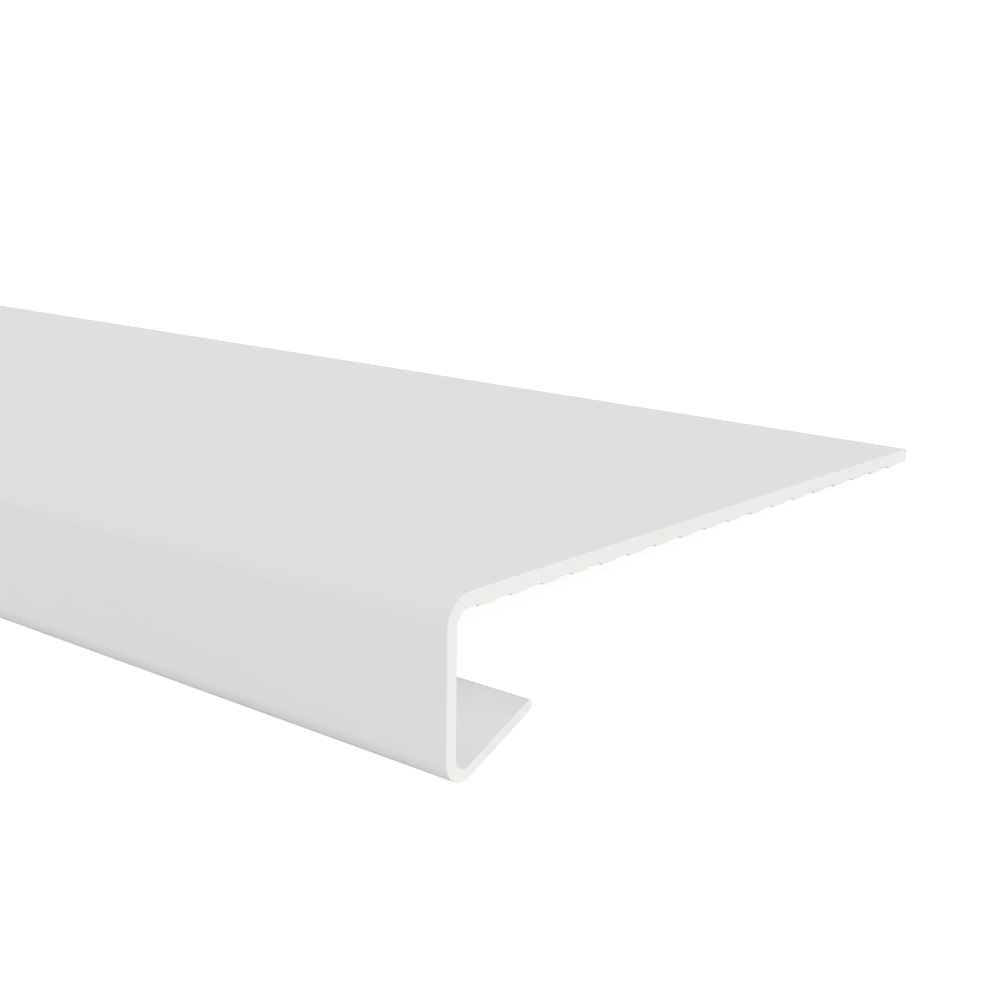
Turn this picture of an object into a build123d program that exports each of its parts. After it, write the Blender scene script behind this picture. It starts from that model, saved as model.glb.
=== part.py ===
from build123d import *
import os
from math import asin, atan2, cos, floor, hypot, radians, sin, tan

# One straight length of extruded rigid plastic that caps an old window sill:
# a flat plate, a nose that turns down over the sill's front edge, and a lip
# that springs back up under it. The section is drawn as the cover is fitted,
# plate level: its first axis runs from the front face to the rear edge, its
# second axis is up, and its zero is the corner of the plate with the front face.
# The length runs along X. All lengths are in millimetres, angles in degrees.

# Overall sizes
cover_length = 1250.0
cover_depth = 200.0        # front face to rear edge
nose_height = 41.2         # top face to the underside of the nose
lip_reach = 27.9           # front face to the tip of the lip

# Walls
plate_thickness = 3.5
nose_thickness = 3.15
lip_thickness = 2.5
lip_angle = 24.8           # rise of the lip towards the rear

# Bends
top_bend_radius = 7.2
top_bend_inner_radius = 3.5
nose_bend_radius = 5.6
nose_bend_inner_radius = 3.3
outer_land = 0.9           # flat under the nose between its bend and the lip
inner_land = 0.1           # the same flat inside the nose
lip_root_radius = 1.0

# Rounded edges
lip_tip_upper_radius = 0.85
lip_tip_lower_radius = 0.6
rear_upper_radius = 0.4
rear_lower_radius = 0.3

# Glue ribs under the plate
rib_height = 0.4
rib_width = 5.4
rib_pitch = 10.53
first_rib = 9.6            # front face to the front edge of the first rib
rear_margin = 5.0          # least plain width behind the last rib

# The lip: two parallel faces that rise from the underside of the nose
lip_slope = tan(radians(lip_angle))
lip_rise = lip_thickness / cos(radians(lip_angle))
outer_root = nose_bend_radius + outer_land
inner_root = nose_thickness + nose_bend_inner_radius + inner_land
inner_floor = lip_rise - nose_height + (inner_root - outer_root) * lip_slope
tip_bottom = (lip_reach - outer_root) * lip_slope - nose_height
tip_top = tip_bottom + lip_rise

# Corners of the outline in order, each with the radius that rounds it
outline = [
    ((cover_depth, 0), rear_upper_radius),
    ((0, 0), top_bend_radius),
    ((0, -nose_height), nose_bend_radius),
    ((outer_root, -nose_height), lip_root_radius),
    ((lip_reach, tip_bottom), lip_tip_lower_radius),
    ((lip_reach, tip_top), lip_tip_upper_radius),
    ((inner_root, inner_floor), 0),
    ((nose_thickness, inner_floor), nose_bend_inner_radius),
    ((nose_thickness, -plate_thickness), top_bend_inner_radius),
    ((cover_depth, -plate_thickness), rear_lower_radius),
]

# The ribs that fit between the nose and the rear margin
rib_room = cover_depth - rear_margin - first_rib - rib_width
rib_count = floor(rib_room / rib_pitch) + 1
rib_field = (rib_count - 1) * rib_pitch + rib_width

# At rest on a level floor the cover stands on the root of the lip and on the
# lower rear edge, so the plate slopes down to the rear by the angle of the line
# that touches both roundings from below.
root_centre_x = outer_root - lip_root_radius * tan(radians(lip_angle / 2))
root_centre_y = lip_root_radius - nose_height
rear_centre_x = cover_depth - rear_lower_radius
rear_centre_y = rear_lower_radius - plate_thickness
foot_run = rear_centre_x - root_centre_x
foot_drop = rear_centre_y - root_centre_y
radius_step = asin((lip_root_radius - rear_lower_radius) / hypot(foot_run, foot_drop))
rest_slope = atan2(foot_drop, foot_run) + radius_step

# Directions of the section's two axes when the cover lies at rest
rear_y, rear_z = cos(rest_slope), -sin(rest_slope)
up_y, up_z = sin(rest_slope), cos(rest_slope)

# Reach of the resting section along Y and Z from the zero of its own axes:
# forwards to the bend of the nose, rearwards to the upper rear edge, and down
# to the root of the lip
front_reach = nose_bend_radius * rear_y + (nose_bend_radius - nose_height) * up_y - nose_bend_radius
rear_reach = (
    (cover_depth - rear_upper_radius) * rear_y - rear_upper_radius * up_y + rear_upper_radius
)
floor_reach = root_centre_x * rear_z + root_centre_y * up_z - lip_root_radius

# The part's zero is the middle of its footprint, on the floor
rest_plane = Plane(
    origin=(0, -(front_reach + rear_reach) / 2, -floor_reach),
    x_dir=(0, rear_y, rear_z),
    z_dir=(1, 0, 0),
)

with BuildPart() as sill_cover:
    with BuildSketch(rest_plane) as section:
        with BuildLine():
            FilletPolyline(
                *[corner for corner, radius in outline],
                radius=[radius for corner, radius in outline],
                close=True,
            )
        make_face()
        with Locations((first_rib + rib_field / 2, -plate_thickness)):
            with GridLocations(rib_pitch, 0, rib_count, 1):
                Rectangle(rib_width, rib_height, align=(Align.CENTER, Align.MAX))
    extrude(amount=cover_length / 2, both=True)
sill_cover.part.label = "sill_cover"

os.makedirs("parts", exist_ok=True)
export_step(sill_cover.part, "parts/sill_cover.step")
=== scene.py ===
# %% [markdown]
# # A window sill cover in white extruded plastic
# The object is one straight length of rigid white plastic that caps an old
# window sill: a flat plate, a nose that turns down over the sill's front edge,
# and a lip that springs back up under it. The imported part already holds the
# real size and the solid. This file gives it the looks: fine bends, eased saw
# cuts, a satin skin, and the light, floor and camera of the photograph.
# The part is loaded first, and its box is kept, so that the finished model can
# be measured against it at the end.

from math import cos, hypot, radians, tan

import bmesh
import bpy
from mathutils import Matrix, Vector


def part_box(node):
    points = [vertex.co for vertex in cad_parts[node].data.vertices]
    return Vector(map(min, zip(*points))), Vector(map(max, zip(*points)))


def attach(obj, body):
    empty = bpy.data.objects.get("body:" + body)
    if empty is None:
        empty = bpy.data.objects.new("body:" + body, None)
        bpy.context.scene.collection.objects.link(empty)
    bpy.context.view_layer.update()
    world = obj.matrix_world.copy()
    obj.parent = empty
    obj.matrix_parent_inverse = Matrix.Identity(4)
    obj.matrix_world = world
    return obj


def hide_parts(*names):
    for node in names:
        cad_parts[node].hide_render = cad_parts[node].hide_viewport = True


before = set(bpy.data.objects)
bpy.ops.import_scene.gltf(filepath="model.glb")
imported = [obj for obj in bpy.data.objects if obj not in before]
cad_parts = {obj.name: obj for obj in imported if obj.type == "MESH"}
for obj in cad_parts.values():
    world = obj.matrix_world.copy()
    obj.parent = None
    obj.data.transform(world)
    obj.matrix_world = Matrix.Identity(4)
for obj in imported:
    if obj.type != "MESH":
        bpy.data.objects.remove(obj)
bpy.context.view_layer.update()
node_low, node_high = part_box("sill_cover")
print("packed part, in mm:", [round(side * 1000, 2) for side in node_high - node_low])

# %% [markdown]
# ## The camera
# The photograph looks along the nose from the near end, a little from above.
# The place, the turn and the lens are fitted to the cover's edges in it. The
# cover lies tipped back on the root of its lip, while the photograph shows its
# plate level, so the camera is rolled with the cover and not with the floor.
# Shift stays at zero, so that any other view keeps the object in the middle.

# %% Set up the camera
camera_place = (0.83493, -0.30717, 0.18269)
camera_turn_degrees = (67.7458, 6.1998, 39.6714)
camera_lens = 59.399

bpy.ops.object.select_all(action="DESELECT")
bpy.ops.object.camera_add(
    location=camera_place, rotation=[radians(angle) for angle in camera_turn_degrees]
)
camera = bpy.context.object
camera.name = "photo_camera"
camera.data.lens = camera_lens
camera.data.clip_start = 0.01
camera.data.clip_end = 100.0
bpy.context.scene.camera = camera
print("camera", round((camera.location - (node_low + node_high) / 2).length, 3), "m away")

# %% [markdown]
# ## The section's sizes
# Extruded stock is the same section from end to end, so all its shape is in a
# few numbers. They are those of the solid, in metres. The section is worked on
# as the cover is fitted, with its plate level: y runs from the front face to
# the rear edge, z is up, and zero is the corner of the plate with the front
# face. The lands are the short flats between the bend of the nose and the root
# of the lip. The finished piece is tipped onto its resting place at the end.

# %% Name the sizes
mm = 0.001
cover_length = 1250.0 * mm
cover_depth = 200.0 * mm
nose_height = 41.2 * mm
lip_reach = 27.9 * mm
plate_thickness = 3.5 * mm
nose_thickness = 3.15 * mm
lip_thickness = 2.5 * mm
lip_angle = radians(24.8)

top_bend_radius, top_bend_inner_radius = 7.2 * mm, 3.5 * mm
nose_bend_radius, nose_bend_inner_radius = 5.6 * mm, 3.3 * mm
lip_root_radius = 1.0 * mm
lip_tip_lower_radius, lip_tip_upper_radius = 0.6 * mm, 0.85 * mm
rear_upper_radius, rear_lower_radius = 0.4 * mm, 0.3 * mm

outer_land, inner_land = 0.9 * mm, 0.1 * mm
outer_root = nose_bend_radius + outer_land
inner_root = nose_thickness + nose_bend_inner_radius + inner_land
lip_rise = lip_thickness / cos(lip_angle)
inner_floor = lip_rise - nose_height + (inner_root - outer_root) * tan(lip_angle)
tip_bottom = (lip_reach - outer_root) * tan(lip_angle) - nose_height
tip_top = tip_bottom + lip_rise
print("the lip's tip ends", round(-tip_top / mm, 2), "mm below the plate's top face")

# %% [markdown]
# ## Picking what the next tool works on
# Every step in edit mode acts on what is selected. With no mouse, edges and
# faces are picked by their place: a test says which of them are meant, and the
# helper selects just those. It returns how many it found, so that a step that
# misses its target shows at once.

# %% Helpers that pick by place
near_enough = 0.01 * mm


def pick(piece, kind, test):
    """Select the vertices, edges or faces of the piece that pass the test."""
    bpy.ops.mesh.select_mode(type=kind)
    bpy.ops.mesh.select_all(action="DESELECT")
    mesh = bmesh.from_edit_mesh(piece.data)
    every = {"VERT": mesh.verts, "EDGE": mesh.edges, "FACE": mesh.faces}[kind]
    found = [item for item in every if test(item)]
    for item in found:
        item.select_set(True)
    bmesh.update_edit_mesh(piece.data)
    return len(found)


def at(vertex, y, z):
    return hypot(vertex.co.y - y, vertex.co.z - z) < near_enough


def runs_along(edge, y, z):
    """True for an edge of the full length whose place in the section is y, z."""
    return edge.calc_length() > cover_length / 2 and all(at(v, y, z) for v in edge.verts)


def extrude(by):
    bpy.ops.mesh.extrude_region_move(TRANSFORM_OT_translate={"value": by})


# %% [markdown]
# ## The plate
# The plate is the easiest part: a cube primitive of the full length and depth,
# as thick as the plate. It is the start that the nose, the lip and the ribs
# grow out of, so the finished piece is one closed skin, as the real one is.

# %% Block out the plate
bpy.ops.object.select_all(action="DESELECT")
bpy.ops.mesh.primitive_cube_add(
    size=1.0,
    location=(0, cover_depth / 2, -plate_thickness / 2),
    scale=(cover_length, cover_depth, plate_thickness),
)
cover = bpy.context.object
cover.name = "sill_cover_profile"
bpy.ops.object.transform_apply(location=True, rotation=True, scale=True)
print("plate block:", [round(side / mm, 1) for side in cover.dimensions], "mm")

# %% [markdown]
# ## The nose
# The nose could be a second box joined to the first, but that leaves a seam
# inside. Here the plate is cut once behind the front wall, and the strip in
# front of the cut is extruded down: first to the floor of the nose, then by
# the thickness that the lip will need.

# %% Pull the front wall down
bpy.ops.object.mode_set(mode="EDIT")
bpy.ops.mesh.select_all(action="SELECT")
bpy.ops.mesh.bisect(plane_co=(0, nose_thickness, 0), plane_no=(0, 1, 0))


def under_the_wall(face):
    return face.normal.z < -0.9 and face.calc_center_median().y < nose_thickness


pick(cover, "FACE", under_the_wall)
extrude((0, 0, inner_floor + plate_thickness))
pick(cover, "FACE", under_the_wall)
extrude((0, 0, -nose_height - inner_floor))
print("front wall pulled down to", round(nose_height / mm, 1), "mm")

# %% [markdown]
# ## The lip
# The lip leaves the bottom of the nose after a short flat and rises towards
# the rear. Its two faces are parallel, and its tip is cut plumb. Both come out
# of the same face: one short extrusion for the flat, and a long one that is
# carried up the slope. The lower edge starts a hair nearer the front than the
# upper one does, so it is moved by itself after each extrusion.

# %% Draw the lip out of the nose
def behind_the_nose(y):
    return lambda face: (
        face.normal.y > 0.5
        and abs(face.calc_center_median().y - y) < 0.2 * mm
        and face.calc_center_median().z < inner_floor
    )


def move_edge(y, z, to_y, to_z):
    pick(cover, "VERT", lambda vertex: at(vertex, y, z))
    bpy.ops.transform.translate(value=(0, to_y - y, to_z - z))


pick(cover, "FACE", behind_the_nose(nose_thickness))
extrude((0, inner_root - nose_thickness, 0))
move_edge(inner_root, -nose_height, outer_root, -nose_height)

lip_faces = pick(cover, "FACE", behind_the_nose((inner_root + outer_root) / 2))
lip_run = lip_reach - inner_root
extrude((0, lip_run, lip_run * tan(lip_angle)))
carried_bottom = lip_run * tan(lip_angle) - nose_height
move_edge(outer_root + lip_run, carried_bottom, lip_reach, tip_bottom)
print(lip_faces, "face drawn out to", round(lip_reach / mm, 1), "mm")

# %% [markdown]
# ## Flats without spare edges
# The extrusions left edges in the middle of flat faces, where the next step
# began. A bevel can't cut wider than the face beside it, so those edges would
# pinch the large bends. A limited dissolve joins all faces that lie in one
# plane, which leaves the ten corners of the section and nothing else.

# %% Join the faces of each flat
bpy.ops.mesh.select_all(action="SELECT")
bpy.ops.mesh.dissolve_limited(angle_limit=radians(0.5))
corners = pick(cover, "EDGE", lambda edge: edge.calc_length() > cover_length / 2)
print(corners, "long edges are left")

# %% [markdown]
# ## The bends
# Each long edge of the section has its own radius: the die is wider at the
# outside of a bend than at the inside, and the tip and the rear edge are only
# eased. The bevel tool takes the width that it cuts off each face, which for
# an arc of a radius is the radius times the tangent of half the turn. The
# number of steps follows the size of the arc, so that no facet shows.

# %% Round the long edges
bends = [
    ((0, 0), top_bend_radius, 20),
    ((nose_thickness, -plate_thickness), top_bend_inner_radius, 12),
    ((0, -nose_height), nose_bend_radius, 18),
    ((nose_thickness, inner_floor), nose_bend_inner_radius, 12),
    ((outer_root, -nose_height), lip_root_radius, 4),
    ((lip_reach, tip_bottom), lip_tip_lower_radius, 6),
    ((lip_reach, tip_top), lip_tip_upper_radius, 9),
    ((cover_depth, 0), rear_upper_radius, 6),
    ((cover_depth, -plate_thickness), rear_lower_radius, 5),
]


def round_edges(piece, radius, steps):
    """Round the selected edges, which all turn by the same angle."""
    mesh = bmesh.from_edit_mesh(piece.data)
    turn = next(edge.calc_face_angle() for edge in mesh.edges if edge.select)
    bpy.ops.mesh.bevel(
        offset=radius * tan(turn / 2), offset_type="OFFSET", segments=steps, affect="EDGES"
    )


for (y, z), radius, steps in bends:
    found = pick(cover, "EDGE", lambda edge: runs_along(edge, y, z))
    round_edges(cover, radius, steps)
    print(found, "edge rounded to", round(radius / mm, 2), "mm in", steps, "steps")

# %% [markdown]
# ## The glue ribs
# Flat ribs under the plate hold the bead of adhesive off the old sill. They
# could be bars stuck on, but they come out of the same die as the plate. So
# the underside is cut along both sides of each rib, and the strips between
# two cuts are extruded down together. Their corners are eased, because
# plastic leaves a die with no knife edges.

# %% Grow the ribs
rib_height, rib_width, rib_pitch = 0.4 * mm, 5.4 * mm, 10.53 * mm
first_rib, rib_count = 9.6 * mm, 18
rib_ease = 0.1 * mm
rib_fronts = [first_rib + rib_pitch * number for number in range(rib_count)]


def underside(face):
    centre = face.calc_center_median()
    return face.normal.z < -0.999 and abs(centre.z + plate_thickness) < near_enough


for front in rib_fronts:
    for side in (front, front + rib_width):
        pick(cover, "FACE", underside)
        bpy.ops.mesh.bisect(plane_co=(0, side, 0), plane_no=(0, 1, 0))


def on_a_rib(face):
    middle = face.calc_center_median().y
    return underside(face) and any(
        abs(middle - front - rib_width / 2) < rib_width / 4 for front in rib_fronts
    )


rib_faces = pick(cover, "FACE", on_a_rib)
extrude((0, 0, -rib_height))

rib_floor = -plate_thickness - rib_height
rib_sides = [side for front in rib_fronts for side in (front, front + rib_width)]
rib_corners = pick(
    cover, "EDGE", lambda edge: any(runs_along(edge, side, rib_floor) for side in rib_sides)
)
round_edges(cover, rib_ease, 3)
print(rib_faces, "ribs with", rib_corners, "eased corners")

# %% [markdown]
# ## The saw cuts
# Such stock is cut to length with a fine saw and the burr is wiped off, which
# leaves a tiny break all round the cut. It is a bevel of a tenth of a
# millimetre on the outline of both end faces. Then the long strips are
# divided along the length, because faces a metre long and a hair wide shade
# badly and are awkward in a printed or baked mesh.

# %% Break the sawn edges and divide the length
cut_break = 0.1 * mm
length_divisions = 50


def is_end(face):
    return abs(face.normal.x) > 0.999


pick(cover, "FACE", is_end)
bpy.ops.mesh.region_to_loop()
bpy.ops.mesh.bevel(offset=cut_break, offset_type="OFFSET", segments=2, affect="EDGES")

long_strips = pick(cover, "EDGE", lambda edge: edge.calc_length() > cover_length / 2)
bpy.ops.mesh.subdivide(number_cuts=length_divisions - 1)
print(long_strips, "long strips, each in", length_divisions, "parts")

# %% [markdown]
# ## Clean up and lay the cover down
# The tools leave nothing double, but the piece is checked as any model is:
# doubles are merged and the normals turned outwards. Then it is tipped back
# onto the root of its lip and its rear edge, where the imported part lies, and
# the turn and the place are applied, so the object itself stays at zero.

# %% Tidy the mesh and tip it into its resting place
rest_slope = radians(11.0332)
rest_zero = (0.0, -94.6588 * mm, 41.6588 * mm)
merge_within = 0.002 * mm

bpy.ops.mesh.select_mode(type="VERT")
bpy.ops.mesh.select_all(action="SELECT")
bpy.ops.mesh.remove_doubles(threshold=merge_within)
bpy.ops.mesh.normals_make_consistent(inside=False)
bpy.ops.object.mode_set(mode="OBJECT")

cover.rotation_euler = (-rest_slope, 0.0, 0.0)
cover.location = rest_zero
bpy.ops.object.transform_apply(location=True, rotation=True, scale=True)

checked = bmesh.new()
checked.from_mesh(cover.data)
open_edges = sum(1 for edge in checked.edges if not edge.is_manifold)
volume = checked.calc_volume()
checked.free()
points = [vertex.co for vertex in cover.data.vertices]
for axis, name in enumerate("xyz"):
    low, high = min(p[axis] for p in points), max(p[axis] for p in points)
    print(
        name, "from", round(low / mm, 3), "to", round(high / mm, 3), "mm, packed part",
        round(node_low[axis] / mm, 3), "to", round(node_high[axis] / mm, 3),
    )
print(len(cover.data.polygons), "faces,", open_edges, "open edges,",
      round(volume * 1e6, 1), "cubic cm")

# %% [markdown]
# ## Smooth shading that keeps the flats flat
# Plain smooth shading lets the bends bleed into the wide plate as a false
# gradient. Shading smooth up to an angle keeps the saw cuts and rib sides
# crisp, and weighted normals give each flat its own direction, so only the
# bends look curved.

# %% Shade the cover
smooth_up_to = radians(35)

bpy.ops.object.select_all(action="DESELECT")
cover.select_set(True)
bpy.context.view_layer.objects.active = cover
bpy.ops.object.shade_smooth_by_angle(angle=smooth_up_to)
weighted = cover.modifiers.new("weighted_normals", "WEIGHTED_NORMAL")
weighted.keep_sharp = True
bpy.ops.object.modifier_apply(modifier=weighted.name)
print("custom normals:", cover.data.has_custom_normals)

# %% [markdown]
# ## Lines and grain of a tool
# A die leaves faint lines along the stock, and a saw leaves faint arcs on the
# cut. Both are the same thing at heart: lines at a pitch, a finer grain, and
# slow drifts of tone. So they share one node group. It reads a vector that
# the material has already laid along its own lines, and puts out a height for
# the bump, a tone for the colour and a roughness.

# %% Build the shared node group
def add_node(tree, kind, **settings):
    node = tree.nodes.new(kind)
    for name, value in settings.items():
        setattr(node, name, value)
    return node


def noise(tree, vector, scale, detail=2.0):
    """A noise texture whose scale is a number or a socket."""
    node = add_node(tree, "ShaderNodeTexNoise", noise_dimensions="3D")
    node.inputs["Detail"].default_value = detail
    tree.links.new(vector, node.inputs["Vector"])
    if isinstance(scale, (int, float)):
        node.inputs["Scale"].default_value = scale
    else:
        tree.links.new(scale, node.inputs["Scale"])
    return node.outputs["Fac"]


def calculate(tree, operation, first, second, third=None):
    """A math node on numbers or sockets."""
    node = add_node(tree, "ShaderNodeMath", operation=operation)
    for place, value in enumerate((first, second, third)):
        if isinstance(value, (int, float)):
            node.inputs[place].default_value = value
        elif value is not None:
            tree.links.new(value, node.inputs[place])
    return node.outputs[0]


drifts_per_metre = 9.0


def build_tool_marks():
    group = bpy.data.node_groups.new("tool_marks", "ShaderNodeTree")
    socket = group.interface.new_socket
    socket("Lines Vector", in_out="INPUT", socket_type="NodeSocketVector")
    for name in ("Lines per Metre", "Line Depth", "Grains per Metre", "Grain Depth",
                 "Tone Spread", "Roughness", "Roughness Spread"):
        socket(name, in_out="INPUT", socket_type="NodeSocketFloat")
    for name in ("Height", "Tone", "Roughness"):
        socket(name, in_out="OUTPUT", socket_type="NodeSocketFloat")

    given = add_node(group, "NodeGroupInput").outputs
    result = add_node(group, "NodeGroupOutput").inputs
    place = add_node(group, "ShaderNodeTexCoord").outputs["Object"]

    lines = noise(group, given["Lines Vector"], given["Lines per Metre"], detail=3.0)
    grain = noise(group, place, given["Grains per Metre"])
    drift = noise(group, place, drifts_per_metre)

    line_swing = calculate(group, "SUBTRACT", lines, 0.5)
    grain_swing = calculate(group, "SUBTRACT", grain, 0.5)
    drift_swing = calculate(group, "SUBTRACT", drift, 0.5)

    grain_height = calculate(group, "MULTIPLY", grain_swing, given["Grain Depth"])
    height = calculate(group, "MULTIPLY_ADD", line_swing, given["Line Depth"], grain_height)
    both = calculate(group, "MULTIPLY_ADD", line_swing, 0.5, drift_swing)
    tone = calculate(group, "MULTIPLY_ADD", both, given["Tone Spread"], 1.0)
    mixed = calculate(group, "ADD", line_swing, grain_swing)
    rough = calculate(group, "MULTIPLY_ADD", mixed, given["Roughness Spread"],
                      given["Roughness"])
    group.links.new(height, result["Height"])
    group.links.new(tone, result["Tone"])
    group.links.new(rough, result["Roughness"])
    return group


tool_marks = build_tool_marks()
print("tool_marks:", [item.name for item in tool_marks.interface.items_tree])

# %% [markdown]
# ## The two finishes of the plastic
# Rigid white plastic for building is filled with white pigment, so it is
# opaque and takes its look from the skin. The skin cools against polished
# steel and comes out satin, with lines that only show at a glancing angle. The
# saw opens the skin: the cut is duller and a touch lighter, as sawn plastic
# is. Its warm tint is painted light: the warm light that falls on the end is
# put into the cut's colour. Each finish is a Principled shader of its own that
# places the shared group with its own values. The lines are laid by stretching
# the coordinates along the cover for the die, and by the distance from the
# saw's centre for the cut.

# %% Make the skin and the cut
def plastic(name, colour, ior, marks):
    """A plastic material with the group placed and its plain values set."""
    material = bpy.data.materials.new(name)
    material.use_nodes = True
    tree = material.node_tree
    shader = tree.nodes["Principled BSDF"]
    shader.inputs["IOR"].default_value = ior
    group = add_node(tree, "ShaderNodeGroup", node_tree=tool_marks)
    for socket, value in marks.items():
        group.inputs[socket].default_value = value

    pigment = add_node(tree, "ShaderNodeMix", data_type="RGBA", blend_type="MULTIPLY")
    pigment.inputs["Factor"].default_value = 1.0
    pigment.inputs["A"].default_value = (*colour, 1.0)
    tree.links.new(group.outputs["Tone"], pigment.inputs["B"])
    tree.links.new(pigment.outputs["Result"], shader.inputs["Base Color"])
    tree.links.new(group.outputs["Roughness"], shader.inputs["Roughness"])

    bump = add_node(tree, "ShaderNodeBump")
    bump.inputs["Distance"].default_value = 1.0
    tree.links.new(group.outputs["Height"], bump.inputs["Height"])
    tree.links.new(bump.outputs["Normal"], shader.inputs["Normal"])
    return material, tree, group


skin, tree, group = plastic(
    "white_plastic_skin",
    colour=(0.866, 0.866, 0.863),
    ior=1.52,
    marks={
        "Lines per Metre": 900.0, "Line Depth": 2.0e-6,
        "Grains per Metre": 2600.0, "Grain Depth": 1.2e-6,
        "Tone Spread": 0.012, "Roughness": 0.45, "Roughness Spread": 0.05,
    },
)
along_the_die = add_node(tree, "ShaderNodeMapping")
along_the_die.inputs["Scale"].default_value = (0.004, 1.0, 1.0)
place = add_node(tree, "ShaderNodeTexCoord").outputs["Object"]
tree.links.new(place, along_the_die.inputs["Vector"])
tree.links.new(along_the_die.outputs["Vector"], group.inputs["Lines Vector"])

saw_centre = (0.0, -0.05, -0.13)
# The cut's colour is a touch lighter, as sawn plastic is, and its warm tint is painted
# light: the warm light that falls on the end.
cut, tree, group = plastic(
    "white_plastic_cut",
    colour=(0.88, 0.873, 0.858),
    ior=1.52,
    marks={
        "Lines per Metre": 1400.0, "Line Depth": 6.0e-6,
        "Grains per Metre": 5000.0, "Grain Depth": 4.0e-6,
        "Tone Spread": 0.014, "Roughness": 0.58, "Roughness Spread": 0.08,
    },
)
from_centre = add_node(tree, "ShaderNodeVectorMath", operation="SUBTRACT")
from_centre.inputs[1].default_value = saw_centre
in_the_cut = add_node(tree, "ShaderNodeVectorMath", operation="MULTIPLY")
in_the_cut.inputs[1].default_value = (0.0, 1.0, 1.0)
distance = add_node(tree, "ShaderNodeVectorMath", operation="LENGTH")
arcs = add_node(tree, "ShaderNodeCombineXYZ")
place = add_node(tree, "ShaderNodeTexCoord").outputs["Object"]
tree.links.new(place, from_centre.inputs[0])
tree.links.new(from_centre.outputs["Vector"], in_the_cut.inputs[0])
tree.links.new(in_the_cut.outputs["Vector"], distance.inputs[0])
tree.links.new(distance.outputs["Value"], arcs.inputs["X"])
tree.links.new(arcs.outputs["Vector"], group.inputs["Lines Vector"])
print("materials:", skin.name, cut.name)

# %% [markdown]
# ## Which face gets which finish
# The cut finish belongs to the two end faces and to the tiny break round
# them. Everything else is skin. The faces are told apart by where they point:
# only the ends look along the cover.

# %% Give the faces their finish
along_the_cover = 0.3
cover.data.materials.append(skin)
cover.data.materials.append(cut)
for face in cover.data.polygons:
    face.material_index = 1 if abs(face.normal.x) > along_the_cover else 0
sawn_faces = sum(face.material_index for face in cover.data.polygons)
print(sawn_faces, "faces have the saw's finish")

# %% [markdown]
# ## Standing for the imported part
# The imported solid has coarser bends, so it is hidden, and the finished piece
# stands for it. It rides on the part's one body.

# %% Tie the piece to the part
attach(cover, "root")
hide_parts("sill_cover")

# %% [markdown]
# ## The floor and the background
# The photograph is a cut-out on pure white with no shadow to speak of. The
# floor is a plain pale sheet that light bounces off. Only for the camera does
# it glow as well, which takes it to white and leaves the deepest of the
# shadow. The world does the same: white for the camera and in reflections,
# and a plain even light for all else. The sheet is a shade warm and the world
# a shade blue, as the photograph has its low faces against its high ones.

# %% Lay the floor and set the world
floor_glow = 0.8
floor_colour = (0.715, 0.705, 0.665, 1.0)
world_light = 0.65
world_colour = (0.993, 0.994, 1.016, 1.0)

bpy.ops.object.select_all(action="DESELECT")
bpy.ops.mesh.primitive_plane_add(size=40.0, location=(0, 0, 0))
floor = bpy.context.object
floor.name = "studio_floor"

pale = bpy.data.materials.new("pale_floor")
pale.use_nodes = True
tree = pale.node_tree
shader = tree.nodes["Principled BSDF"]
shader.inputs["Base Color"].default_value = floor_colour
shader.inputs["Roughness"].default_value = 0.9
shader.inputs["Specular IOR Level"].default_value = 0.1
shader.inputs["Emission Color"].default_value = (1.0, 1.0, 1.0, 1.0)
seen = add_node(tree, "ShaderNodeLightPath").outputs["Is Camera Ray"]
glow = calculate(tree, "MULTIPLY", seen, floor_glow)
tree.links.new(glow, shader.inputs["Emission Strength"])
floor.data.materials.append(pale)

world = bpy.data.worlds.new("studio_world")
bpy.context.scene.world = world
world.use_nodes = True
tree = world.node_tree
backdrop = tree.nodes["Background"]
backdrop.inputs["Color"].default_value = world_colour
rays = add_node(tree, "ShaderNodeLightPath").outputs
shown = calculate(tree, "MAXIMUM", rays["Is Camera Ray"], rays["Is Glossy Ray"])
shown = calculate(tree, "MAXIMUM", shown, rays["Is Transmission Ray"])
strength = calculate(tree, "MULTIPLY_ADD", shown, 1.0 - world_light, world_light)
tree.links.new(strength, backdrop.inputs["Strength"])
bpy.context.scene.view_settings.view_transform = "Standard"
print("world light", world_light, "and floor glow", floor_glow)

# %% [markdown]
# ## The lamps
# White on white is read from small steps of brightness: the cut end is the
# lightest face, then the plate, then the front wall. The world's even light
# does most of the work. A large softbox beyond the near end lifts the cut, and
# a low one in front evens out the wall. Both are far, so the long faces stay
# even, and the front one makes no highlight, since the bend shows none. The
# inside of the nose is as bright as the wall in the photograph. No far lamp
# reaches in there, so a strip the size of a finger lies under the plate and
# lights the lip from above.

# %% Hang the lamps
def hang_lamp(name, place, aim, width, height, watts, colour):
    bpy.ops.object.select_all(action="DESELECT")
    bpy.ops.object.light_add(type="AREA", location=place)
    lamp = bpy.context.object
    lamp.name = name
    lamp.data.shape = "RECTANGLE"
    lamp.data.size, lamp.data.size_y = width, height
    lamp.data.energy = watts
    lamp.data.color = colour
    towards = Vector(aim) - Vector(place)
    lamp.rotation_euler = towards.to_track_quat("-Z", "Y").to_euler()
    return lamp


hang_lamp(
    "end_softbox", place=(7.56, 1.95, 2.74), aim=(0.3, 0.0, 0.0),
    width=5.0, height=4.0, watts=257.0, colour=(1.0, 1.0, 1.0),
)
front_softbox = hang_lamp(
    "front_softbox", place=(-3.0, -5.0, 0.9), aim=(0.1, 0.0, 0.0),
    width=5.0, height=1.8, watts=98.0, colour=(1.0, 0.95, 0.98),
)
front_softbox.visible_glossy = False
hang_lamp(
    "hollow_fill", place=(0.6085, -0.083, 0.031), aim=(0.6085, -0.085, 0.01),
    width=0.036, height=0.012, watts=0.00227, colour=(1.0, 0.975, 0.985),
)
